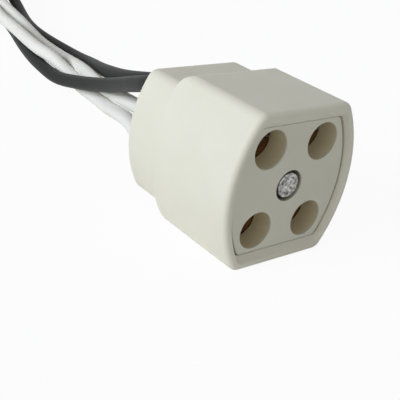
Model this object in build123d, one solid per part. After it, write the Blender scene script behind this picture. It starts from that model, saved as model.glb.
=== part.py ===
"""Four-pin holder for ring lamps, with its four leads.

Millimetres, +Z up. The face with the pin holes looks towards -Y, and the leads leave at +Y.
The origin is on the surface that the holder stands on, under the middle of the housing.
"""
from build123d import *
import math
import os

# Pattern of the lamp's pins, across and up
PIN_PITCH_X = 6.35
PIN_PITCH_Z = 7.92
PIN_BORE = 2.3

# Housing: a front block with a raised rim, and a smaller rear block
FRONT_Y = -8.1  # the front of the rim
TOTAL_LENGTH = 16.1
FRONT_LENGTH = 10.9
FRONT_HALF_WIDTH = 7.8
FRONT_HALF_HEIGHT = 7.6
FRONT_SIDE_RADIUS = 13.2
REAR_HALF_WIDTH = 7.25
REAR_HALF_HEIGHT = 6.3
REAR_SIDE_RADIUS = 11.5
OUTLINE_CORNER = 1.2
SHOULDER_RADIUS = 1.3
FRONT_EDGE_RADIUS = 0.55
REAR_EDGE_RADIUS = 0.5
RIM_WIDTH = 0.75
RIM_DEPTH = 0.55
RIM_SIDE_SLOPE = 0.25
RIM_END_SLOPE = 0.65
POCKET_MOUTH_CORNER = 0.7
POCKET_SEAT_CORNER = 0.6
BLOCK_OVERLAP = 1.0  # how far the rear block runs on inside the front one

# Face plate, held inside the rim
PLATE_THICKNESS = 2.3
PLATE_SIDE_GAP = 0.22
PLATE_END_GAP = 0.05
PLATE_CORNER = 0.5
PLATE_EDGE_ROUND = 0.05
PIN_HOLE_RADIUS = 1.85
PIN_HOLE_ROUND = 0.12

# Chambers in the housing, one behind each pin hole
CHAMBER_RADIUS = 2.2
CHAMBER_DEPTH = 7.55  # from the plate's back to the step that the contact seats on
LEAD_HOLE_RADIUS = 1.1
LEAD_HOLE_MOUTH = 0.25

# Rivet through the middle
RIVET_RADIUS = 1.15
RIVET_HOLE_RADIUS = 1.2
RIVET_HEAD_RADIUS = 2.0
RIVET_HEAD_HEIGHT = 0.9
RIVET_HEAD_DOME = 0.6
RIVET_RECESS_RADIUS = 2.15
RIVET_RECESS_DEPTH = 1.1
SET_END_RADIUS = 1.24
SET_END_HEIGHT = 0.65
SET_END_ROUND = 0.15
SET_RECESS_RADIUS = 1.55
SET_RECESS_DEPTH = 0.7

# Contact: a flared mouth, four jaws that taper in to a pinch, a locating bead and a crimp barrel
METAL = 0.3
MOUTH_RADIUS = 2.14
MOUTH_LENGTH = 1.5
SOCKET_LENGTH = 6.85
SOCKET_SPREAD = 0.2  # how much wider the bore is at the jaws' roots than at the pinch
BEAD_RADIUS = 1.9
BEAD_LENGTH = 0.6
CRIMP_RADIUS = 0.75
CRIMP_LENGTH = 2.6
JAW_SLIT = 0.35
JAW_LENGTH = 5.2
CRIMP_DENT_RADIUS = 0.6
CRIMP_DENT_DEPTH = 0.15
CRIMP_DENT_LENGTH = 2.0

# Leads
LEAD_DIAMETER = 1.8
LEAD_RADIUS = LEAD_DIAMETER / 2
CORE_RADIUS = 0.45
CORE_SHOWN = 0.3  # bare conductor between the crimp barrel and the insulation
STRIPPED_LENGTH = 8.0
LEAD_LENGTH = 200.0  # from the housing's rear face to the stripped tip

# Coil of the put-away length, one layer for each lead
COIL_X = 1.3
COIL_Y = 98.0
COIL_OUTER_TURN = 10.8
COIL_INNER_TURN = COIL_OUTER_TURN - LEAD_DIAMETER
COIL_CLEARANCE = 0.02  # between a lead's slanting end and the coil that it runs on into

# Places worked out from the sizes above
MIDDLE_Z = FRONT_HALF_HEIGHT
REAR_Y = FRONT_Y + TOTAL_LENGTH
SHOULDER_Y = FRONT_Y + FRONT_LENGTH
FACE_Y = FRONT_Y + RIM_DEPTH
PLATE_BACK_Y = FACE_Y + PLATE_THICKNESS
STEP_Y = PLATE_BACK_Y + CHAMBER_DEPTH
MOUTH_Y = STEP_Y - BEAD_LENGTH - SOCKET_LENGTH
CRIMP_END_Y = STEP_Y + CRIMP_LENGTH
LEAD_START_Y = CRIMP_END_Y + CORE_SHOWN
PIN_X = PIN_PITCH_X / 2
PIN_Z = PIN_PITCH_Z / 2

CORNERS = {
    "top_left": (-PIN_X, PIN_Z),
    "top_right": (PIN_X, PIN_Z),
    "bottom_left": (-PIN_X, -PIN_Z),
    "bottom_right": (PIN_X, -PIN_Z),
}

# Each lead: its corner, its layer in the coil, and the points that its route turns at
LEADS = {
    "black_lead_right": (
        "top_right",
        3,
        [
            (3.1, 11.0, 11.1),
            (3.0, 15.5, 9.4),
            (2.9, 20.0, 7.9),
            (3.7, 25.5, 6.6),
            (5.3, 32.0, 5.2),
            (8.0, 38.5, 3.6),
            (10.8, 44.5, 1.6),
            (11.35, 51.0, 0.9),
            (11.5, 58.0, 0.9),
            (12.15, 64.5, 0.9),
            (13.2, 71.5, 1.2),
            (14.95, 79.0, 3.0),
            (13.95, 87.0, 6.2),
            (12.4, 92.0, 6.4),
        ],
    ),
    "black_lead_left": (
        "top_left",
        0,
        [
            (-3.0, 10.5, 11.2),
            (-1.8, 14.5, 9.7),
            (-0.1, 19.0, 7.9),
            (1.9, 25.0, 5.5),
            (3.4, 31.0, 3.4),
            (4.0, 37.0, 2.1),
            (4.0, 43.0, 0.9),
            (5.0, 50.0, 0.9),
            (5.9, 57.0, 0.9),
            (7.8, 64.0, 0.9),
            (9.6, 71.0, 0.9),
            (11.1, 78.0, 0.9),
            (12.0, 85.0, 0.9),
            (12.08, 91.5, 0.9),
        ],
    ),
    "white_lead_right": (
        "bottom_right",
        2,
        [
            (3.15, 13.0, 3.65),
            (3.1, 18.0, 3.7),
            (3.8, 24.0, 3.3),
            (5.7, 30.5, 2.4),
            (7.4, 36.0, 1.4),
            (8.4, 41.5, 0.95),
            (9.1, 48.0, 1.2),
            (9.45, 55.0, 1.3),
            (10.0, 62.0, 1.3),
            (10.8, 69.0, 1.8),
            (12.2, 76.0, 2.7),
            (12.7, 83.0, 4.3),
            (12.25, 90.0, 4.55),
        ],
    ),
    "white_lead_left": (
        "bottom_left",
        1,
        [
            (-2.7, 12.0, 3.8),
            (-0.9, 17.0, 3.6),
            (1.3, 21.5, 2.6),
            (3.2, 26.0, 1.4),
            (4.4, 31.5, 0.9),
            (5.4, 37.5, 0.9),
            (6.7, 44.0, 0.9),
            (7.25, 50.5, 1.0),
            (7.7, 57.0, 2.2),
            (7.5, 63.0, 3.1),
            (8.1, 69.0, 2.8),
            (9.8, 76.0, 2.8),
            (11.3, 83.0, 2.75),
            (12.0, 90.0, 2.75),
        ],
    ),
}


def barrel(half_width, half_height, side_radius, corner):
    """An outline with a flat top and bottom and bulging sides."""
    sagitta = side_radius - math.sqrt(side_radius**2 - half_height**2)
    flat = half_width - sagitta
    outline = [
        Line((-flat, half_height), (flat, half_height)),
        ThreePointArc((flat, half_height), (half_width, 0), (flat, -half_height)),
        Line((flat, -half_height), (-flat, -half_height)),
        ThreePointArc((-flat, -half_height), (-half_width, 0), (-flat, half_height)),
    ]
    face = make_face(outline)
    return fillet(face.vertices(), corner)


def at_depth(y):
    """The upright plane at this depth, about the middle of the pin pattern, facing the front."""
    return Plane((0, y, MIDDLE_Z), x_dir=(1, 0, 0), z_dir=(0, -1, 0))


def slab(outline, front_y, back_y):
    return extrude(at_depth(back_y) * outline, back_y - front_y)


def rod(x, z, radius, front_y, back_y):
    """A round bar or bore along Y, placed from the middle of the pin pattern."""
    return slab(Pos(x, z) * Circle(radius), front_y, back_y)


def front_outline(inset_side=0.0, inset_end=0.0, corner=OUTLINE_CORNER):
    """The front block's outline, or one that runs inside it."""
    return barrel(
        FRONT_HALF_WIDTH - inset_side,
        FRONT_HALF_HEIGHT - inset_end,
        FRONT_SIDE_RADIUS - inset_side,
        corner,
    )


def front_block():
    """The barrel-shaped block, its rear top and bottom shoulders rounded."""
    block = slab(front_outline(), FRONT_Y, SHOULDER_Y)
    side = Pos(FRONT_Y + FRONT_LENGTH / 2, MIDDLE_Z) * Rectangle(FRONT_LENGTH, 2 * FRONT_HALF_HEIGHT)
    rear_corners = side.vertices().sort_by(Axis.X)[-2:]
    side = fillet(rear_corners, SHOULDER_RADIUS)
    return block & extrude(Plane.YZ * side, FRONT_HALF_WIDTH, both=True)


def rear_block():
    outline = barrel(REAR_HALF_WIDTH, REAR_HALF_HEIGHT, REAR_SIDE_RADIUS, OUTLINE_CORNER)
    block = slab(outline, SHOULDER_Y - BLOCK_OVERLAP, REAR_Y)
    rear_edges = block.faces().sort_by(Axis.Y)[-1].edges()
    return fillet(rear_edges, REAR_EDGE_RADIUS)


def rim_pocket():
    """The opening inside the rim: its top and bottom walls slope in to the plate."""
    side = RIM_WIDTH + RIM_SIDE_SLOPE
    end = RIM_WIDTH + RIM_END_SLOPE
    mouth = at_depth(FRONT_Y) * front_outline(RIM_WIDTH, RIM_WIDTH, POCKET_MOUTH_CORNER)
    seat_outline = front_outline(side, end, POCKET_SEAT_CORNER)
    slope = loft([mouth, at_depth(FACE_Y) * seat_outline])
    return slope + slab(seat_outline, FACE_Y, PLATE_BACK_Y)


def make_housing():
    """One moulding: both blocks, the rim, four stepped chambers and the rivet's hole."""
    front = front_block()
    front_edges = front.faces().sort_by(Axis.Y)[0].edges()
    body = fillet(front_edges, FRONT_EDGE_RADIUS) + rear_block()
    body -= rim_pocket()
    for x, z in CORNERS.values():
        body -= rod(x, z, CHAMBER_RADIUS, PLATE_BACK_Y, STEP_Y)
        body -= rod(x, z, LEAD_HOLE_RADIUS, STEP_Y, REAR_Y)
        mouth = at_depth(REAR_Y - LEAD_HOLE_MOUTH) * Pos(x, z) * Circle(LEAD_HOLE_RADIUS)
        wide = at_depth(REAR_Y) * Pos(x, z) * Circle(LEAD_HOLE_RADIUS + LEAD_HOLE_MOUTH)
        body -= loft([mouth, wide])
    body -= rod(0, 0, RIVET_HOLE_RADIUS, PLATE_BACK_Y, REAR_Y)
    body -= rod(0, 0, RIVET_RECESS_RADIUS, REAR_Y - RIVET_RECESS_DEPTH, REAR_Y)
    return body


def make_face_plate():
    """The insert with the four pin holes, which keeps the contacts in their chambers."""
    side = RIM_WIDTH + RIM_SIDE_SLOPE + PLATE_SIDE_GAP
    end = RIM_WIDTH + RIM_END_SLOPE + PLATE_END_GAP
    plate = slab(front_outline(side, end, PLATE_CORNER), FACE_Y, PLATE_BACK_Y)
    plate = fillet(plate.faces().sort_by(Axis.Y)[0].edges(), PLATE_EDGE_ROUND)
    for x, z in CORNERS.values():
        plate -= rod(x, z, PIN_HOLE_RADIUS, FACE_Y, PLATE_BACK_Y)
    hole_edges = [wire.edges() for wire in plate.faces().sort_by(Axis.Y)[0].inner_wires()]
    for edges in hole_edges:
        plate = fillet(edges, PIN_HOLE_ROUND)
    plate -= rod(0, 0, SET_RECESS_RADIUS, FACE_Y, FACE_Y + SET_RECESS_DEPTH)
    return plate - rod(0, 0, RIVET_HOLE_RADIUS, FACE_Y, PLATE_BACK_Y)


def make_rivet():
    """A solid rivet: a low domed head at the rear, and the set end in the plate's recess."""
    set_back = FACE_Y + SET_RECESS_DEPTH
    set_front = set_back - SET_END_HEIGHT
    head_front = REAR_Y - RIVET_RECESS_DEPTH
    head_back = head_front + RIVET_HEAD_HEIGHT
    set_end = rod(0, 0, SET_END_RADIUS, set_front, set_back)
    set_end = fillet(set_end.faces().sort_by(Axis.Y)[0].edges(), SET_END_ROUND)
    head = rod(0, 0, RIVET_HEAD_RADIUS, head_front, head_back)
    head = fillet(head.faces().sort_by(Axis.Y)[-1].edges(), RIVET_HEAD_DOME)
    return set_end + rod(0, 0, RIVET_RADIUS, set_back, head_front) + head


def contact_profile():
    """Half the contact's section: radius along X, distance behind its mouth along Y."""
    pinch = PIN_BORE / 2
    root = pinch + SOCKET_SPREAD
    bead_start = SOCKET_LENGTH
    bead_end = bead_start + BEAD_LENGTH
    outline = Polyline(
        (0, bead_start),
        (root, bead_start - METAL),
        (pinch, MOUTH_LENGTH),
        (MOUTH_RADIUS - METAL, 0),
        (MOUTH_RADIUS, 0),
        (pinch + METAL, MOUTH_LENGTH),
        (root + METAL, bead_start - METAL),
        (BEAD_RADIUS, bead_start),
        (BEAD_RADIUS, bead_end),
        (CRIMP_RADIUS, bead_end),
        (CRIMP_RADIUS, bead_end + CRIMP_LENGTH),
        (CORE_RADIUS, bead_end + CRIMP_LENGTH),
        (CORE_RADIUS, bead_end + METAL),
        (0, bead_end + METAL),
        close=True,
    )
    return make_face(outline)


def make_contact():
    """One contact, its mouth at y = 0 and its axis on Y."""
    contact = revolve(contact_profile(), Axis.Y)
    slit_middle = JAW_LENGTH / 2
    wide = 3 * MOUTH_RADIUS
    contact -= Pos(0, slit_middle, 0) * Box(JAW_SLIT, JAW_LENGTH, wide)
    contact -= Pos(0, slit_middle, 0) * Box(wide, JAW_LENGTH, JAW_SLIT)
    dent_y = SOCKET_LENGTH + BEAD_LENGTH + CRIMP_LENGTH / 2
    dent_z = CRIMP_RADIUS + CRIMP_DENT_RADIUS - CRIMP_DENT_DEPTH
    for side in (1, -1):
        dent = Pos(0, dent_y, side * dent_z) * Rot(Y=90) * Cylinder(CRIMP_DENT_RADIUS, CRIMP_DENT_LENGTH)
        contact -= dent
    return contact


def place(corner):
    x, z = CORNERS[corner]
    return Pos(x, 0, MIDDLE_Z + z)


def make_core(corner):
    """The bare conductor in the crimp barrel, as far as the insulation."""
    x, z = CORNERS[corner]
    return rod(x, z, CORE_RADIUS, STEP_Y + METAL, LEAD_START_Y)


def layer_height(layer):
    return LEAD_RADIUS + layer * LEAD_DIAMETER


def route_points(name):
    """The lead's corners, from inside the housing to where it meets the coil."""
    corner, layer, turns = LEADS[name]
    x, z = CORNERS[corner]
    start = (x, LEAD_START_Y, MIDDLE_Z + z)
    end = (COIL_X + COIL_OUTER_TURN, COIL_Y, layer_height(layer))
    return [start, *turns, end]


def corner_radii(points):
    """For each corner, 0.45 of its shorter run divided by the tangent of half its turn."""
    vectors = [Vector(*point) for point in points]
    radii = []
    for before, here, after in zip(vectors, vectors[1:], vectors[2:]):
        arriving = here - before
        leaving = after - here
        half_turn = math.radians(arriving.get_angle(leaving)) / 2
        radii.append(0.45 * min(arriving.length, leaving.length) / math.tan(half_turn))
    return radii


def make_tube(name):
    """The lead from its crimp to the coil, on whose outside it ends."""
    points = route_points(name)
    radii = corner_radii(points)
    path = FilletPolyline(*points, radius=radii)
    section = Plane(path @ 0, z_dir=path % 0) * Circle(LEAD_RADIUS)
    tube = sweep(section, path)
    volume = path.length * math.pi * LEAD_RADIUS**2
    print(f"{name}: route {path.length:.1f} mm, volume {tube.volume:.2f} of {volume:.2f} mm3")
    print("  bend radii mm:", " ".join(f"{radius:.0f}" for radius in radii))
    return tube - coil_space(), path.length


def coil_space():
    """Everything inside the coil's outer surface, hollow and all."""
    radius = COIL_OUTER_TURN + LEAD_RADIUS + COIL_CLEARANCE
    height = (len(LEADS) + 1) * LEAD_DIAMETER
    return Pos(COIL_X, COIL_Y, height / 2) * Cylinder(radius, height)


def ring(radius, layer, first_angle, arc):
    """A stretch of one turn, as a square-cornered band that the lead fills."""
    band = Pos(radius, layer_height(layer)) * Rectangle(LEAD_DIAMETER, LEAD_DIAMETER)
    turned = revolve(Plane.XZ * band, Axis.Z, revolution_arc=arc)
    return Pos(COIL_X, COIL_Y, 0) * Rot(Z=first_angle) * turned


def inner_arc(route_length):
    """How far round, in degrees, the second turn goes before the stripped end."""
    outside = route_length - (REAR_Y - LEAD_START_Y)
    left = LEAD_LENGTH - STRIPPED_LENGTH - outside - 2 * math.pi * COIL_OUTER_TURN
    return math.degrees(left / COIL_INNER_TURN)


def make_coil(name, arc):
    """The lead's layer of the coil: a whole outer turn and part of an inner one, to the left."""
    layer = LEADS[name][1]
    whole = ring(COIL_OUTER_TURN, layer, 0, 360)
    return whole + ring(COIL_INNER_TURN, layer, 0, arc)


def make_tip(name, arc):
    """The stripped end, which goes on round the coil's inner turn."""
    layer = LEADS[name][1]
    tip_arc = math.degrees(STRIPPED_LENGTH / COIL_INNER_TURN)
    section = Plane.XZ * (Pos(COIL_INNER_TURN, layer_height(layer)) * Circle(CORE_RADIUS))
    tip = revolve(section, Axis.Z, revolution_arc=tip_arc)
    return Pos(COIL_X, COIL_Y, 0) * Rot(Z=arc) * tip


def main():
    os.makedirs("parts", exist_ok=True)
    parts = {
        "housing": make_housing(),
        "face_plate": make_face_plate(),
        "rivet": make_rivet(),
    }
    contact = make_contact()
    for corner in CORNERS:
        parts[f"contact_{corner}"] = place(corner) * Pos(0, MOUTH_Y, 0) * contact
    for name, (corner, layer, turns) in LEADS.items():
        tube, route_length = make_tube(name)
        arc = inner_arc(route_length)
        parts[f"{name}_core"] = make_core(corner)
        parts[name] = tube
        parts[f"{name}_coil"] = make_coil(name, arc)
        parts[f"{name}_tip"] = make_tip(name, arc)
        print(f"  second turn {arc:.0f} degrees")
    for name, shape in parts.items():
        export_step(shape, f"parts/{name}.step")


main()
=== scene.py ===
"""Four-pin holder for ring lamps, with its four leads, dressed for a plain studio picture.

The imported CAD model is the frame: metres, +Z up, the pin holes looking towards -Y. The housing,
the face plate, the contacts and the crimped conductors keep their CAD meshes and get finishes.
The rivet, the leads and the stripped strands are modelled here over their CAD solids.
"""
from __future__ import annotations

import logging
import math
import random
from dataclasses import dataclass, field
from enum import Enum

import bmesh
import bpy
from mathutils import Matrix, Vector

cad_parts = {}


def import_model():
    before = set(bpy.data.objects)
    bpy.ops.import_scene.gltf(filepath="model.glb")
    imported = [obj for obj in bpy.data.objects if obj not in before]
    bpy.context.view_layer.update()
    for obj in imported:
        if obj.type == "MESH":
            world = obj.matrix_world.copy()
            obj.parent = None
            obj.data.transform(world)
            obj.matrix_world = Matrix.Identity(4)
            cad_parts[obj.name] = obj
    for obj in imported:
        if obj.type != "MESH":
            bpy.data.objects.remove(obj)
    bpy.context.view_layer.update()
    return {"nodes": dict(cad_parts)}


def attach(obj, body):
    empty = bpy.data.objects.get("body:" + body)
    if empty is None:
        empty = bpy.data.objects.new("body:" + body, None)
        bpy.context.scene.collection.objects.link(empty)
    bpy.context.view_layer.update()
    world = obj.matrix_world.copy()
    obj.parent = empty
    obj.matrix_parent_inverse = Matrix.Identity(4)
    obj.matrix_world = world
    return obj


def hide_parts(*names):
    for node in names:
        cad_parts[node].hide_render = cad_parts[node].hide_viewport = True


MM = 0.001
# Places on the holder, in metres: its pin holes about the middle, and the middle's height
PIN_X = 0.003175
PIN_Z = 0.00396
MIDDLE_Z = 0.0076

log = logging.getLogger("ring_lamp_holder")
Point = tuple[float, float, float]


def linear(hex_colour: str) -> tuple[float, float, float, float]:
    """Turns an sRGB hex colour to the linear values that shaders take.

    Args:
        hex_colour: Six hex digits, with or without a leading hash.

    Returns:
        Linear red, green and blue, and an alpha of 1.
    """
    digits = hex_colour.lstrip("#")
    channels = []
    for start in (0, 2, 4):
        value = int(digits[start:start + 2], 16) / 255
        channels.append(value / 12.92 if value <= 0.04045 else ((value + 0.055) / 1.055) ** 2.4)
    return (channels[0], channels[1], channels[2], 1.0)


def add_node(
    tree: bpy.types.NodeTree,
    kind: str,
    settings: dict[str, object] | None = None,
    values: dict[str | int, object] | None = None,
    links: dict[str | int, bpy.types.NodeSocket] | None = None,
) -> bpy.types.Node:
    """Adds one shader node with its settings and links.

    Args:
        tree: The material's or world's node tree.
        kind: The node's type, such as ShaderNodeTexNoise.
        settings: Properties of the node itself, by name.
        values: Values for input sockets that nothing is linked to, by name or number.
        links: Output sockets to link into the input sockets, by name or number.

    Returns:
        The new node.
    """
    node = tree.nodes.new(kind)
    for name, value in (settings or {}).items():
        setattr(node, name, value)
    for socket, value in (values or {}).items():
        node.inputs[socket].default_value = value
    for socket, source in (links or {}).items():
        tree.links.new(source, node.inputs[socket])
    return node


def rays_that_see(tree: bpy.types.NodeTree) -> bpy.types.NodeSocket:
    """Tells the rays that show a surface to the eye from those that only carry its light.

    Args:
        tree: The material's or world's node tree.

    Returns:
        1 for a ray from the camera, a reflection or a see-through surface, and 0 for the others.
    """
    ray = add_node(tree, "ShaderNodeLightPath")
    direct = add_node(
        tree,
        "ShaderNodeMath",
        settings={"operation": "MAXIMUM"},
        links={0: ray.outputs["Is Camera Ray"], 1: ray.outputs["Is Glossy Ray"]},
    )
    seen = add_node(
        tree,
        "ShaderNodeMath",
        settings={"operation": "MAXIMUM"},
        links={0: direct.outputs["Value"], 1: ray.outputs["Is Transmission Ray"]},
    )
    return seen.outputs["Value"]


def new_material(name: str) -> tuple[bpy.types.Material, bpy.types.NodeTree]:
    """Starts a material with an empty node tree.

    Args:
        name: The material's common name and how its surface was made.

    Returns:
        The material and its tree.
    """
    material = bpy.data.materials.new(name)
    material.use_nodes = True
    material.node_tree.nodes.clear()
    return material, material.node_tree


def new_piece(name: str, mesh: bpy.types.Mesh | bpy.types.Curve) -> bpy.types.Object:
    """Puts a mesh or curve into the scene as an object at the origin.

    Args:
        name: The piece's name.
        mesh: What it is made of, already in place.

    Returns:
        The new object.
    """
    piece = bpy.data.objects.new(name, mesh)
    bpy.context.scene.collection.objects.link(piece)
    return piece


class Winding(Enum):
    """Which way the leads turn into the put-away coil, seen from above."""

    LEFT = 1
    RIGHT = -1


@dataclass(frozen=True)
class MouldedPlastic:
    """Polybutylene terephthalate, injection moulded in a finely eroded tool.

    A pale, slightly translucent plastic. Its skin is satin: the tool's grain breaks up the
    reflections, and slow flow marks give the colour a faint unevenness. The real grain is too
    fine to show, so it is drawn coarser. A piece with holes in its face also has a hollow
    colour: painted warm shade, yellower and darker, on the walls of its holes, and painted
    shade in the gap round the rivet.
    """

    name: str
    colour: str
    flow_colour: str
    roughness: float
    ior: float = 1.5
    sheen: float = 0.22
    smoother: float = 0.05
    rougher: float = 0.06
    flow_mm: float = 3.5
    grain_mm: float = 0.16
    grain_depth_mm: float = 0.006
    grain_strength: float = 0.5
    translucency: float = 0.12
    translucency_mm: float = 0.6
    translucency_tint: Point = (1.0, 0.9, 0.65)
    # Painted warm shade deep in the holes: a yellower, darker colour than the face
    hollow_shade_colour: str = ""
    # Places along Y: just behind the face, and where the painted warm shade is full
    hollow_from_mm: float = -7.5
    hollow_to_mm: float = -7.15
    # Painted shade in the gap round the rivet: its colour, its ring's radius from the rivet's axis and
    # the width of its fade
    gap_shade_colour: str = "#35342e"
    gap_shade_ring_mm: float = 1.6
    gap_shade_fade_mm: float = 0.1

    def build(self) -> bpy.types.Material:
        """Makes the material's nodes.

        Returns:
            The material.
        """
        material, tree = new_material(self.name)
        place = add_node(tree, "ShaderNodeTexCoord").outputs["Object"]
        flow = add_node(
            tree,
            "ShaderNodeTexNoise",
            values={"Scale": 1 / (self.flow_mm * MM), "Detail": 3.0, "Roughness": 0.5},
            links={"Vector": place},
        )
        tone = add_node(
            tree,
            "ShaderNodeMix",
            settings={"data_type": "RGBA"},
            values={"A": linear(self.colour), "B": linear(self.flow_colour)},
            links={"Factor": flow.outputs["Fac"]},
        )
        colour = tone.outputs["Result"]
        if self.hollow_shade_colour:
            colour = self._paint_hollow_shade(tree, place, colour)
        tree.links.new(colour, self._shader(tree, place, flow).inputs["Base Color"])
        return material

    def _paint_hollow_shade(
        self, tree: bpy.types.NodeTree, place: bpy.types.NodeSocket, skin: bpy.types.NodeSocket
    ) -> bpy.types.NodeSocket:
        """Paints warm shade into the plastic inside the holes, and shade into the gap round the rivet.

        Args:
            tree: The material's tree.
            place: The coordinates that the depth and the distance are read from.
            skin: The plastic's colour on the face.

        Returns:
            The colour with its painted shade.
        """
        depth = add_node(
            tree,
            "ShaderNodeMapRange",
            values={"From Min": self.hollow_from_mm * MM, "From Max": self.hollow_to_mm * MM},
            links={"Value": add_node(tree, "ShaderNodeSeparateXYZ", links={0: place}).outputs["Y"]},
        )
        # Painted warm shade: deeper than the face, the plastic turns yellower and darker
        hollow_shaded = add_node(
            tree,
            "ShaderNodeMix",
            settings={"data_type": "RGBA"},
            values={"B": linear(self.hollow_shade_colour)},
            links={"Factor": depth.outputs["Result"], "A": skin},
        )
        flat = add_node(
            tree,
            "ShaderNodeVectorMath",
            settings={"operation": "MULTIPLY"},
            values={1: (1, 0, 1)},
            links={0: place},
        )
        away = add_node(
            tree,
            "ShaderNodeVectorMath",
            settings={"operation": "DISTANCE"},
            values={1: (0, 0, MIDDLE_Z)},
            links={0: flat.outputs["Vector"]},
        )
        # Painted shade: inside the ring round the rivet, the deep gap turns to the shade colour
        gap_shade_mask = add_node(
            tree,
            "ShaderNodeMapRange",
            values={
                "From Min": self.gap_shade_ring_mm * MM,
                "From Max": (self.gap_shade_ring_mm - self.gap_shade_fade_mm) * MM,
            },
            links={"Value": away.outputs["Value"], "To Max": depth.outputs["Result"]},
        )
        gap_shaded = add_node(
            tree,
            "ShaderNodeMix",
            settings={"data_type": "RGBA"},
            values={"B": linear(self.gap_shade_colour)},
            links={"Factor": gap_shade_mask.outputs["Result"], "A": hollow_shaded.outputs["Result"]},
        )
        return gap_shaded.outputs["Result"]

    def _shader(
        self, tree: bpy.types.NodeTree, place: bpy.types.NodeSocket, flow: bpy.types.Node
    ) -> bpy.types.Node:
        """Adds the shader with its grain and output.

        Args:
            tree: The material's tree.
            place: The coordinates that the grain reads.
            flow: The slow noise, which also varies the gloss.

        Returns:
            The principled shader.
        """
        grain = add_node(
            tree,
            "ShaderNodeTexNoise",
            values={"Scale": 1 / (self.grain_mm * MM), "Detail": 2.0},
            links={"Vector": place},
        )
        bump = add_node(
            tree,
            "ShaderNodeBump",
            values={"Strength": self.grain_strength, "Distance": self.grain_depth_mm * MM},
            links={"Height": grain.outputs["Fac"]},
        )
        gloss = add_node(
            tree,
            "ShaderNodeMapRange",
            values={"To Min": self.roughness - self.smoother, "To Max": self.roughness + self.rougher},
            links={"Value": flow.outputs["Fac"]},
        )
        shader = add_node(
            tree,
            "ShaderNodeBsdfPrincipled",
            values={
                "IOR": self.ior,
                "Specular IOR Level": self.sheen,
                "Subsurface Weight": self.translucency,
                "Subsurface Radius": self.translucency_tint,
                "Subsurface Scale": self.translucency_mm * MM,
            },
            links={"Roughness": gloss.outputs["Result"], "Normal": bump.outputs["Normal"]},
        )
        add_node(tree, "ShaderNodeOutputMaterial", links={"Surface": shader.outputs["BSDF"]})
        return shader


@dataclass(frozen=True)
class Insulation:
    """Plasticised PVC, extruded round the conductor.

    Soft and smooth, with a wax-like sheen that is uneven from handling. The real skin is too
    fine to show, so its unevenness is drawn coarser.
    """

    name: str
    colour: str
    handled_colour: str
    roughness: float
    sheen: float
    ior: float = 1.52
    smoother: float = 0.06
    rougher: float = 0.08
    skin_mm: float = 0.35
    skin_depth_mm: float = 0.008
    skin_strength: float = 0.4
    patch_mm: float = 5.0

    def build(self) -> bpy.types.Material:
        """Makes the material's nodes.

        Returns:
            The material.
        """
        material, tree = new_material(self.name)
        place = add_node(tree, "ShaderNodeTexCoord").outputs["Object"]
        patches = add_node(
            tree,
            "ShaderNodeTexNoise",
            values={"Scale": 1 / (self.patch_mm * MM), "Detail": 4.0, "Roughness": 0.6},
            links={"Vector": place},
        )
        tone = add_node(
            tree,
            "ShaderNodeMix",
            settings={"data_type": "RGBA"},
            values={"A": linear(self.colour), "B": linear(self.handled_colour)},
            links={"Factor": patches.outputs["Fac"]},
        )
        skin = add_node(
            tree,
            "ShaderNodeTexNoise",
            values={"Scale": 1 / (self.skin_mm * MM), "Detail": 2.0},
            links={"Vector": place},
        )
        bump = add_node(
            tree,
            "ShaderNodeBump",
            values={"Strength": self.skin_strength, "Distance": self.skin_depth_mm * MM},
            links={"Height": skin.outputs["Fac"]},
        )
        gloss = add_node(
            tree,
            "ShaderNodeMapRange",
            values={"To Min": self.roughness - self.smoother, "To Max": self.roughness + self.rougher},
            links={"Value": patches.outputs["Fac"]},
        )
        shader = add_node(
            tree,
            "ShaderNodeBsdfPrincipled",
            values={"IOR": self.ior, "Specular IOR Level": self.sheen},
            links={
                "Base Color": tone.outputs["Result"],
                "Roughness": gloss.outputs["Result"],
                "Normal": bump.outputs["Normal"],
            },
        )
        add_node(tree, "ShaderNodeOutputMaterial", links={"Surface": shader.outputs["BSDF"]})
        return material


@dataclass(frozen=True)
class Metal:
    """A bare metal with a worked surface, such as rolled strip, drawn wire or a headed rivet.

    The work leaves patches that differ in colour and height. A small spread makes them sharp
    and a large one lets them run together. Their real size is finer, and they are drawn as
    coarse as they need to show.
    """

    name: str
    colour: str
    dull_colour: str
    roughness: float
    pattern_mm: float
    depth_mm: float
    strength: float = 0.6
    spread: float = 0.5

    def build(self) -> bpy.types.Material:
        """Makes the material's nodes.

        Returns:
            The material.
        """
        material, tree = new_material(self.name)
        place = add_node(tree, "ShaderNodeTexCoord").outputs["Object"]
        pattern = add_node(
            tree,
            "ShaderNodeTexNoise",
            values={"Scale": 1 / (self.pattern_mm * MM), "Detail": 3.0, "Roughness": 0.65},
            links={"Vector": place},
        )
        patches = add_node(
            tree,
            "ShaderNodeMapRange",
            values={"From Min": 0.5 - self.spread, "From Max": 0.5 + self.spread},
            links={"Value": pattern.outputs["Fac"]},
        )
        tone = add_node(
            tree,
            "ShaderNodeMix",
            settings={"data_type": "RGBA"},
            values={"A": linear(self.colour), "B": linear(self.dull_colour)},
            links={"Factor": patches.outputs["Result"]},
        )
        bump = add_node(
            tree,
            "ShaderNodeBump",
            values={"Strength": self.strength, "Distance": self.depth_mm * MM},
            links={"Height": pattern.outputs["Fac"]},
        )
        shader = add_node(
            tree,
            "ShaderNodeBsdfPrincipled",
            values={"Metallic": 1.0, "Roughness": self.roughness},
            links={"Base Color": tone.outputs["Result"], "Normal": bump.outputs["Normal"]},
        )
        add_node(tree, "ShaderNodeOutputMaterial", links={"Surface": shader.outputs["BSDF"]})
        return material


# Off-white, a little darker in its flow marks
HOUSING_PLASTIC = MouldedPlastic("moulded_pbt_housing", "#e8e5d6", "#e2dfce", 0.52)
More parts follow.
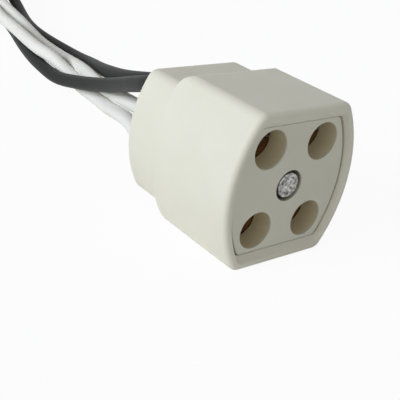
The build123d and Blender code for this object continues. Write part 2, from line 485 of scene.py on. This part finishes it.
# The same plastic in a slightly darker batch, from a coarser tool, with painted shade in its holes and
# round the rivet
PLATE_PLASTIC = MouldedPlastic(
    "moulded_pbt_face_plate", "#e2e0d1", "#dcdac9", 0.54, grain_mm=0.2, hollow_shade_colour="#e0d5b4"
)
# Dark grey to the eye, with hardly any sheen
BLACK_PVC = Insulation("extruded_pvc_black", "#1f1f1f", "#282828", 0.5, 0.12)
# A clean white with a soft sheen along its round top
WHITE_PVC = Insulation("extruded_pvc_white", "#f6f5ee", "#efeee6", 0.45, 0.3)
# Brass that has gone brown in patches
ROLLED_BRASS = Metal("rolled_brass_strip", "#a07a4c", "#5f4229", 0.42, 0.7, 0.01, spread=0.25)
# A bright pale coat with the warmth of the copper under it
TINNED_COPPER = Metal("drawn_tinned_copper", "#d8cfc4", "#b9a893", 0.28, 0.25, 0.003)
# Bright metal with dark pits where the forming tool struck it
HEADED_ALUMINIUM = Metal(
    "cold_headed_aluminium", "#cbcbc8", "#383835", 0.42, 0.26, 0.03, spread=0.17
)


@dataclass
class Housing:
    """The moulded body, its face plate, the contacts and the conductors crimped in them."""

    corners: tuple[str, ...] = ("top_left", "top_right", "bottom_left", "bottom_right")

    def dress(
        self, nodes: dict[str, bpy.types.Object], finishes: dict[str, bpy.types.Material]
    ) -> list[bpy.types.Object]:
        """Gives the CAD nodes that stay their finishes.

        Args:
            nodes: The CAD nodes by name.
            finishes: The materials by name.

        Returns:
            The nodes that stay.
        """
        dressed = [
            self._finish(nodes["housing"], finishes["housing"]),
            self._finish(nodes["face_plate"], finishes["face_plate"]),
        ]
        for corner in self.corners:
            dressed.append(self._finish(nodes[f"contact_{corner}"], finishes["contact"]))
        for name, node in nodes.items():
            if name.endswith("_core"):
                dressed.append(self._finish(node, finishes["conductor"]))
        return dressed

    def _finish(
        self, node: bpy.types.Object, material: bpy.types.Material
    ) -> bpy.types.Object:
        """Puts one material on a CAD node.

        Args:
            node: The CAD node.
            material: Its finish.

        Returns:
            The node.
        """
        node.data.materials.clear()
        node.data.materials.append(material)
        return node


@dataclass
class Rivet:
    """The solid rivet: a low domed head at the rear, and a dimpled set end at the front."""

    shank_mm: float = 1.15
    set_radius_mm: float = 1.24
    set_front_mm: float = -7.5
    set_back_mm: float = -6.85
    set_round_mm: float = 0.15
    head_radius_mm: float = 2.0
    head_front_mm: float = 6.9
    head_back_mm: float = 7.8
    dome_mm: float = 0.5
    rings: int = 12
    round_steps: int = 4
    dome_steps: int = 12
    turned_steps: int = 72
    merge_m: float = 1e-7
    grain_seed: int = 7
    grain_mm: float = 0.035
    outer_dimples: int = 9
    outer_ring_mm: float = 0.82
    turn_spread_rad: float = 0.12
    ring_spread_mm: float = 0.06
    inner_dimples: int = 4
    inner_ring_mm: float = 0.38
    inner_start_rad: float = 0.5
    dimple_mm: float = 0.16
    dimple_depth_mm: float = 0.12
    deepest_mm: float = 0.16
    front_reach_mm: float = 0.01

    def build(self, material: bpy.types.Material) -> bpy.types.Object:
        """Turns the rivet's profile about its axis and dimples its set end.

        Args:
            material: The rivet's metal.

        Returns:
            The rivet, riding on the body.
        """
        mesh = bmesh.new()
        previous = None
        for radius, depth in self._profile():
            vertex = mesh.verts.new((radius * MM, depth * MM, MIDDLE_Z))
            if previous is not None:
                mesh.edges.new((previous, vertex))
            previous = vertex
        bmesh.ops.spin(
            mesh,
            geom=mesh.verts[:] + mesh.edges[:],
            cent=(0, 0, MIDDLE_Z),
            axis=(0, 1, 0),
            angle=math.tau,
            steps=self.turned_steps,
            use_merge=True,
        )
        bmesh.ops.remove_doubles(mesh, verts=mesh.verts[:], dist=self.merge_m)
        self._dimple(mesh)
        bmesh.ops.recalc_face_normals(mesh, faces=mesh.faces[:])
        data = bpy.data.meshes.new("rivet_formed")
        mesh.to_mesh(data)
        mesh.free()
        data.shade_smooth()
        data.materials.append(material)
        piece = new_piece("rivet_formed", data)
        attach(piece, "root")
        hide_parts("rivet")
        return piece

    def _profile(self) -> list[tuple[float, float]]:
        """Draws the half section from the middle of the set end to the middle of the head.

        Returns:
            Its points as radius and depth, in millimetres.
        """
        flat = self.set_radius_mm - self.set_round_mm
        profile = [(flat * step / self.rings, self.set_front_mm) for step in range(self.rings + 1)]
        for step in range(1, self.round_steps + 1):
            turn = math.radians(90 * step / self.round_steps)
            radius = flat + self.set_round_mm * math.sin(turn)
            profile.append((radius, self.set_front_mm + self.set_round_mm * (1 - math.cos(turn))))
        profile.append((self.set_radius_mm, self.set_back_mm))
        profile.append((self.shank_mm, self.set_back_mm))
        profile.append((self.shank_mm, self.head_front_mm))
        profile.append((self.head_radius_mm, self.head_front_mm))
        wall = self.head_back_mm - self.dome_mm
        for step in range(self.dome_steps + 1):
            turn = math.radians(90 * step / self.dome_steps)
            radius = self.head_radius_mm * math.cos(turn)
            profile.append((radius, wall + self.dome_mm * math.sin(turn)))
        return profile

    def _dimple(self, mesh: bmesh.types.BMesh) -> None:
        """Presses the forming tool's dimples and its rough grain into the set end.

        Args:
            mesh: The turned rivet.
        """
        grain = random.Random(self.grain_seed)
        centres = []
        for number in range(self.outer_dimples):
            turn = math.tau * number / self.outer_dimples
            turn += grain.uniform(-self.turn_spread_rad, self.turn_spread_rad)
            reach = self.outer_ring_mm + grain.uniform(-self.ring_spread_mm, self.ring_spread_mm)
            centres.append((reach * math.cos(turn), reach * math.sin(turn)))
        for number in range(self.inner_dimples):
            turn = math.tau * number / self.inner_dimples + self.inner_start_rad
            centres.append((self.inner_ring_mm * math.cos(turn), self.inner_ring_mm * math.sin(turn)))
        front = (self.set_front_mm + self.front_reach_mm) * MM
        for vertex in mesh.verts:
            if vertex.co.y > front:
                continue
            across = vertex.co.x / MM
            up = (vertex.co.z - MIDDLE_Z) / MM
            press = grain.uniform(0.0, self.grain_mm)
            for centre_across, centre_up in centres:
                away = math.hypot(across - centre_across, up - centre_up) / self.dimple_mm
                press += self.dimple_depth_mm * math.exp(-away * away)
            vertex.co.y += min(press, self.deepest_mm) * MM


@dataclass
class Coil:
    """Where the put-away length of the leads is wound, one layer for each lead, in metres."""

    middle_x: float = 0.0013
    middle_y: float = 0.098
    outer_turn: float = 0.0108
    inner_turn: float = 0.009
    points_per_turn: int = 16
    step_in_from_deg: float = 296.0
    step_in_to_deg: float = 352.0
    wound: Winding = Winding.LEFT

    def radius_at(self, swept: float) -> float:
        """Gives the winding's radius: the outer turn, then a smooth step in, then the inner turn.

        Args:
            swept: Degrees wound since the lead met the coil.

        Returns:
            The radius in metres.
        """
        share = (swept - self.step_in_from_deg) / (self.step_in_to_deg - self.step_in_from_deg)
        share = max(0.0, min(1.0, share))
        share = share * share * (3 - 2 * share)
        return self.outer_turn + (self.inner_turn - self.outer_turn) * share

    def point_at(self, swept: float, height: float, overshoot: float = 1.0) -> Point:
        """Gives a point on the winding.

        Args:
            swept: Degrees wound since the lead met the coil.
            height: The layer's middle height.
            overshoot: How much further out a control point stands than the lead itself.

        Returns:
            The point in metres.
        """
        turn = math.radians(self.wound.value * swept)
        radius = self.radius_at(swept) * overshoot
        return (
            self.middle_x + radius * math.cos(turn),
            self.middle_y + radius * math.sin(turn),
            height,
        )

    def control_points(self, start: float, end: float, height: float) -> list[Point]:
        """Spaces control points evenly along a stretch of the winding.

        Args:
            start: Degrees wound at the first point.
            end: Degrees wound at the last point, which stands on the lead itself.
            height: The layer's middle height.

        Returns:
            The points in metres.
        """
        step = 360 / self.points_per_turn
        count = max(3, round((end - start) / step))
        overshoot = 1 / math.cos(math.radians((end - start) / count / 2))
        points = [
            self.point_at(start + (end - start) * number / count, height, overshoot)
            for number in range(count)
        ]
        return [*points, self.point_at(end, height)]


@dataclass
class Lead:
    """One insulated lead: out of the housing, down to the floor and into its layer of the coil.

    Its sizes are in metres.
    """

    name: str
    hole: tuple[float, float]
    layer: int
    second_turn_deg: float
    finish: str
    route: list[Point] = field(default_factory=list)
    start_y: float = 0.0052
    diameter: float = 0.0018
    length: float = 0.1948
    stripped: float = 0.008
    strand: float = 0.0003
    outer_strands: int = 6
    strand_twist_deg: float = 330.0
    strand_start_deg: float = 3.0
    strand_roundness: int = 2
    roundness: int = 7
    smoothness: int = 10

    def height(self) -> float:
        """Gives the middle height of the lead's layer in the coil."""
        return self.diameter * (self.layer + 0.5)

    def build(self, coil: Coil, finishes: dict[str, bpy.types.Material]) -> bpy.types.Object:
        """Args:
            coil: The winding that takes its put-away length.
            finishes: The materials by name.

        Returns:
            The lead.
        """
        swept = 360 + self.second_turn_deg
        start = (self.hole[0], self.start_y, self.hole[1])
        points = [start, *self.route, *coil.control_points(0, swept, self.height())]
        piece = self._curve(f"{self.name}_insulation", points, self.diameter / 2)
        piece.data.materials.append(finishes[self.finish])
        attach(piece, "root")
        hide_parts(self.name, f"{self.name}_coil")
        strands = self._strands(coil, swept)
        strands.data.materials.append(finishes["conductor"])
        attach(strands, "root")
        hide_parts(f"{self.name}_tip")
        return piece

    def _curve(self, name: str, points: list[Point], radius: float) -> bpy.types.Object:
        """Makes one smooth round curve on its control points.

        Args:
            name: The piece's name.
            points: The control points, in metres.
            radius: Half its thickness, or 0 for a bare line.

        Returns:
            The curve's object.
        """
        curve = bpy.data.curves.new(name, "CURVE")
        curve.dimensions = "3D"
        curve.bevel_depth = radius
        curve.bevel_resolution = self.roundness
        curve.resolution_u = self.smoothness
        curve.use_fill_caps = True
        spline = curve.splines.new("NURBS")
        spline.points.add(len(points) - 1)
        for control, point in zip(spline.points, points):
            control.co = (*point, 1.0)
        spline.order_u = 3
        spline.use_endpoint_u = True
        return new_piece(name, curve)

    def _strands(self, coil: Coil, swept: float) -> bpy.types.Object:
        """Lays twisted strands along the stripped end, one in the middle and the others round it.

        Args:
            coil: The winding that the stripped end goes on round.
            swept: Where on the winding the insulation ends, in degrees.

        Returns:
            The strands as one curve.
        """
        start = swept - self.strand_start_deg
        end = swept + math.degrees(self.stripped / coil.inner_turn)
        line = self._curve("guide", coil.control_points(start, end, self.height()), 0.0)
        bpy.context.view_layer.update()
        evaluated = line.evaluated_get(bpy.context.evaluated_depsgraph_get())
        centre = bpy.data.meshes.new_from_object(evaluated)
        path = [vertex.co.copy() for vertex in centre.vertices]
        bpy.data.objects.remove(line)
        curve = bpy.data.curves.new(f"{self.name}_strands", "CURVE")
        curve.dimensions = "3D"
        curve.bevel_depth = self.strand / 2
        curve.bevel_resolution = self.strand_roundness
        curve.use_fill_caps = True
        upwards = Vector((0, 0, 1))
        for number in range(self.outer_strands + 1):
            reach = 0.0 if number == self.outer_strands else self.strand
            spline = curve.splines.new("POLY")
            spline.points.add(len(path) - 1)
            for index, here in enumerate(path):
                ahead = path[min(index + 1, len(path) - 1)]
                behind = path[max(index - 1, 0)]
                along = (ahead - behind).normalized()
                outwards = along.cross(upwards)
                twist = math.tau * number / self.outer_strands
                twist += math.radians(self.strand_twist_deg) * index / len(path)
                away = outwards * math.cos(twist) + upwards * math.sin(twist)
                spline.points[index].co = (*(here + away * reach), 1.0)
        return new_piece(f"{self.name}_strands", curve)


# Each route goes from the hole in the housing's back to the coil, past the points given
LEADS = [
    Lead(
        name="black_lead_right",
        hole=(PIN_X, MIDDLE_Z + PIN_Z),
        layer=3,
        second_turn_deg=192,
        finish="black_insulation",
        route=[
            (0.0031, 0.011, 0.0111),
            (0.003, 0.0155, 0.00925),
            (0.0031, 0.0203, 0.00775),
            (0.00435, 0.026, 0.006),
            (0.00605, 0.0315, 0.00455),
            (0.008, 0.037, 0.0031),
            (0.0098, 0.042, 0.002),
            (0.0108, 0.047, 0.0011),
            (0.0109, 0.0525, 0.0009),
            (0.0108, 0.058, 0.0009),
            (0.0115, 0.064, 0.0009),
            (0.0131, 0.0697, 0.001),
            (0.0148, 0.077, 0.0024),
            (0.0144, 0.085, 0.0056),
            (0.0124, 0.092, 0.0064),
        ],
    ),
    Lead(
        name="black_lead_left",
        hole=(-PIN_X, MIDDLE_Z + PIN_Z),
        layer=0,
        second_turn_deg=196,
        finish="black_insulation",
        route=[
            (-0.003, 0.0105, 0.0112),
            (-0.0018, 0.0145, 0.0097),
            (-0.0001, 0.019, 0.0079),
            (0.00175, 0.025, 0.0055),
            (0.0027, 0.0305, 0.0036),
            (0.00315, 0.0355, 0.00215),
            (0.00335, 0.0405, 0.00095),
            (0.00385, 0.0455, 0.0009),
            (0.0046, 0.05, 0.0009),
            (0.00595, 0.0555, 0.0009),
            (0.008, 0.0625, 0.0009),
            (0.0097, 0.0695, 0.0009),
            (0.0111, 0.077, 0.0009),
            (0.012, 0.085, 0.0009),
            (0.01208, 0.0915, 0.0009),
        ],
    ),
    Lead(
        name="white_lead_right",
        hole=(PIN_X, MIDDLE_Z - PIN_Z),
        layer=2,
        second_turn_deg=209,
        finish="white_insulation",
        route=[
            (0.00315, 0.013, 0.0038),
            (0.0031, 0.018, 0.0043),
            (0.0035, 0.0235, 0.00392),
            (0.0044, 0.029, 0.0031),
            (0.00505, 0.033, 0.00285),
            (0.00598, 0.037, 0.00264),
            (0.0069, 0.0405, 0.00222),
            (0.0076, 0.044, 0.00175),
            (0.0082, 0.0475, 0.0013),
            (0.0084, 0.051, 0.0012),
            (0.0084, 0.0545, 0.00135),
            (0.0084, 0.058, 0.002),
            (0.00855, 0.0615, 0.0026),
            (0.00885, 0.065, 0.00285),
            (0.0094, 0.07, 0.00315),
            (0.0105, 0.076, 0.0043),
            (0.0116, 0.084, 0.00465),
            (0.01215, 0.09, 0.00456),
        ],
    ),
    Lead(
        name="white_lead_left",
        hole=(-PIN_X, MIDDLE_Z - PIN_Z),
        layer=1,
        second_turn_deg=202,
        finish="white_insulation",
        route=[
            (-0.0024, 0.012, 0.0038),
            (-0.00035, 0.0163, 0.0038),
            (0.00145, 0.0205, 0.00302),
            (0.00285, 0.0242, 0.00208),
            (0.00395, 0.028, 0.0012),
            (0.0048, 0.032, 0.0009),
            (0.00502, 0.037, 0.0009),
            (0.00525, 0.0405, 0.0015),
            (0.0046, 0.044, 0.0027),
            (0.0044, 0.0475, 0.0027),
            (0.00475, 0.051, 0.0027),
            (0.00535, 0.055, 0.0027),
            (0.0059, 0.059, 0.0027),
            (0.0062, 0.063, 0.00275),
            (0.00695, 0.0675, 0.00295),
            (0.0081, 0.073, 0.00295),
            (0.00955, 0.079, 0.0028),
            (0.0113, 0.085, 0.00275),
            (0.01205, 0.0905, 0.00275),
        ],
    ),
]


@dataclass(frozen=True)
class Lamp:
    """One square soft lamp that looks at the holder, in metres and watts."""

    name: str
    place: Point
    width: float
    power: float
    colour: Point = (1.0, 1.0, 1.0)

    def hang(self) -> None:
        """Makes the lamp and hangs it in its place."""
        lamp = bpy.data.lights.new(self.name, "AREA")
        lamp.size = self.width
        lamp.energy = self.power
        lamp.color = self.colour
        holder = bpy.data.objects.new(self.name, lamp)
        bpy.context.scene.collection.objects.link(holder)
        holder.location = self.place
        aim = Vector((0, 0, MIDDLE_Z)) - Vector(self.place)
        holder.rotation_euler = aim.to_track_quat("-Z", "Y").to_euler()


@dataclass
class Studio:
    """The plain pale floor, the pale room, the soft lamps and the camera, in metres."""

    camera_at: Point = (-0.04983, -0.05089, 0.03684)
    camera_ahead: Point = (0.60411, 0.66453, -0.43984)
    camera_up: Point = (0.17066, 0.43125, 0.88595)
    lens_mm: float = 71.53
    sensor_mm: float = 36.0
    nearest: float = 0.002
    furthest: float = 20.0
    lamps: tuple[Lamp, ...] = (
        Lamp("key_from_left", (-0.365, 0.055, 0.165), 0.18, 1.08, (0.86, 0.915, 1.0)),
        Lamp("soft_from_above", (0.05, 0.05, 0.42), 0.34, 0.15),
    )
    floor_half: float = 1.2
    floor_z: float = -0.00002
    floor_colour: str = "#f4f4f2"
    floor_roughness: float = 0.6
    floor_shown_white: float = 0.94
    world_bright_side: Point = (-0.45, -0.42, -0.8)
    world_least: float = 0.02
    world_most: float = 0.88

    def build(self) -> None:
        """Makes the floor, the world, the lamps and the camera."""
        self._floor()
        self._world()
        for lamp in self.lamps:
            lamp.hang()
        self._camera()

    def _floor(self) -> None:
        """Lays a pale floor that the camera sees almost white and that keeps its shadows."""
        mesh = bmesh.new()
        bmesh.ops.create_grid(mesh, x_segments=1, y_segments=1, size=self.floor_half)
        bmesh.ops.translate(mesh, verts=mesh.verts[:], vec=(0, 0, self.floor_z))
        data = bpy.data.meshes.new("floor")
        mesh.to_mesh(data)
        mesh.free()
        material, tree = new_material("pale_paper_floor")
        paper = add_node(
            tree,
            "ShaderNodeBsdfDiffuse",
            values={"Color": linear(self.floor_colour), "Roughness": self.floor_roughness},
        )
        seen = add_node(tree, "ShaderNodeEmission", values={"Color": (1, 1, 1, 1), "Strength": 1.0})
        share = add_node(
            tree,
            "ShaderNodeMath",
            settings={"operation": "MULTIPLY"},
            values={1: self.floor_shown_white},
            links={0: rays_that_see(tree)},
        )
        surface = add_node(
            tree,
            "ShaderNodeMixShader",
            links={
                0: share.outputs["Value"],
                1: paper.outputs["BSDF"],
                2: seen.outputs["Emission"],
            },
        )
        add_node(tree, "ShaderNodeOutputMaterial", links={"Surface": surface.outputs["Shader"]})
        data.materials.append(material)
        new_piece("floor", data)

    def _world(self) -> None:
        """Sets a pale room, brighter low down and to the left, that the camera sees as white."""
        world = bpy.data.worlds.new("studio")
        bpy.context.scene.world = world
        world.use_nodes = True
        tree = world.node_tree
        tree.nodes.clear()
        towards = add_node(
            tree,
            "ShaderNodeVectorMath",
            settings={"operation": "DOT_PRODUCT"},
            values={1: self.world_bright_side},
            links={0: add_node(tree, "ShaderNodeTexCoord").outputs["Generated"]},
        )
        room = add_node(
            tree,
            "ShaderNodeMapRange",
            values={
                "From Min": -1.0,
                "From Max": 1.0,
                "To Min": self.world_least,
                "To Max": self.world_most,
            },
            links={"Value": towards.outputs["Value"]},
        )
        level = add_node(
            tree,
            "ShaderNodeMapRange",
            values={"To Max": 1.0},
            links={"Value": rays_that_see(tree), "To Min": room.outputs["Result"]},
        )
        sky = add_node(
            tree,
            "ShaderNodeBackground",
            values={"Color": (1, 1, 1, 1)},
            links={"Strength": level.outputs["Result"]},
        )
        add_node(tree, "ShaderNodeOutputWorld", links={"Surface": sky.outputs["Background"]})

    def _camera(self) -> None:
        """Sets up the camera where the photograph was taken from."""
        data = bpy.data.cameras.new("camera")
        data.lens = self.lens_mm
        data.sensor_width = self.sensor_mm
        data.clip_start = self.nearest
        data.clip_end = self.furthest
        camera = bpy.data.objects.new("camera", data)
        bpy.context.scene.collection.objects.link(camera)
        ahead = Vector(self.camera_ahead).normalized()
        right = ahead.cross(Vector(self.camera_up)).normalized()
        turn = Matrix((right, right.cross(ahead), -ahead)).transposed()
        camera.matrix_world = Matrix.Translation(self.camera_at) @ turn.to_4x4()
        bpy.context.scene.camera = camera


def main() -> None:
    """Builds the sub-assemblies in order and reports each."""
    logging.basicConfig(level=logging.INFO, format="%(name)s: %(message)s")
    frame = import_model()
    bpy.context.scene.view_settings.view_transform = "Standard"
    Studio().build()
    finishes = {
        "housing": HOUSING_PLASTIC.build(),
        "face_plate": PLATE_PLASTIC.build(),
        "contact": ROLLED_BRASS.build(),
        "conductor": TINNED_COPPER.build(),
        "rivet": HEADED_ALUMINIUM.build(),
        "black_insulation": BLACK_PVC.build(),
        "white_insulation": WHITE_PVC.build(),
    }
    for piece in Housing().dress(frame["nodes"], finishes):
        log.info("dressed %s in %s", piece.name, piece.data.materials[0].name)
    rivet = Rivet().build(finishes["rivet"])
    log.info("made %s with %d faces", rivet.name, len(rivet.data.polygons))
    coil = Coil()
    for lead in LEADS:
        piece = lead.build(coil, finishes)
        log.info("made %s on %d control points", piece.name, len(piece.data.splines[0].points))


if __name__ == "__main__":
    main()
